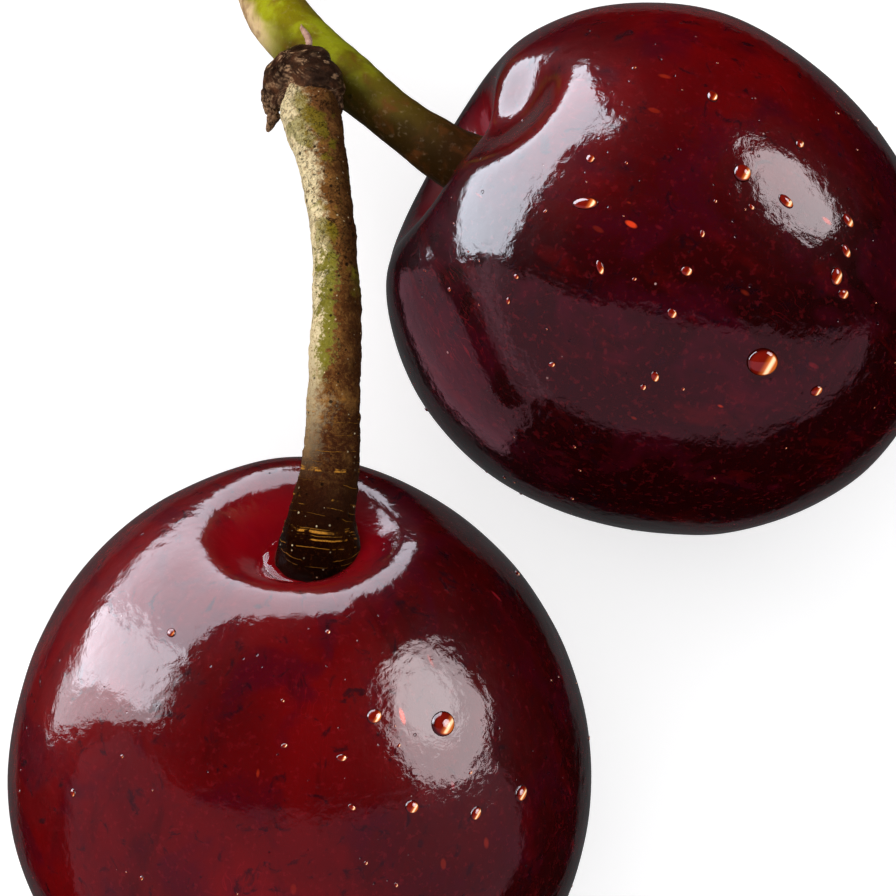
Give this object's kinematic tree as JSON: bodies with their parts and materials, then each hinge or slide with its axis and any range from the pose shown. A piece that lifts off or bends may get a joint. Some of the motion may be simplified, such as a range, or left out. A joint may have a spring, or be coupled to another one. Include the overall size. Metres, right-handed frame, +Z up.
{
  "type": "cherries on stalks",
  "caption": "Glossy dark red sweet cherries on woody stalks that meet in a bud-scale knob on a green stem, lying on a surface.",
  "frame": {"origin": "under the middle of the whole pair's box, on the surface it lies on", "axes": "+Z up from the surface; +Y from the front cherry towards the cut end of the stem; +X to the right, where the rear cherry lies"},
  "size_m": [0.045, 0.0637, 0.0278],
  "materials": {
    "front_skin": "gloss",
    "rear_skin": "gloss",
    "bark": "matte",
    "green_stem": "satin",
    "bud_scales": "matte"
  },
  "bodies": {
    "root": {"front_cherry": "front_skin", "rear_cherry": "rear_skin", "front_stalk": "bark", "rear_stalk": "green_stem", "stalk_knob": "bud_scales"}
  },
  "joints": []
}
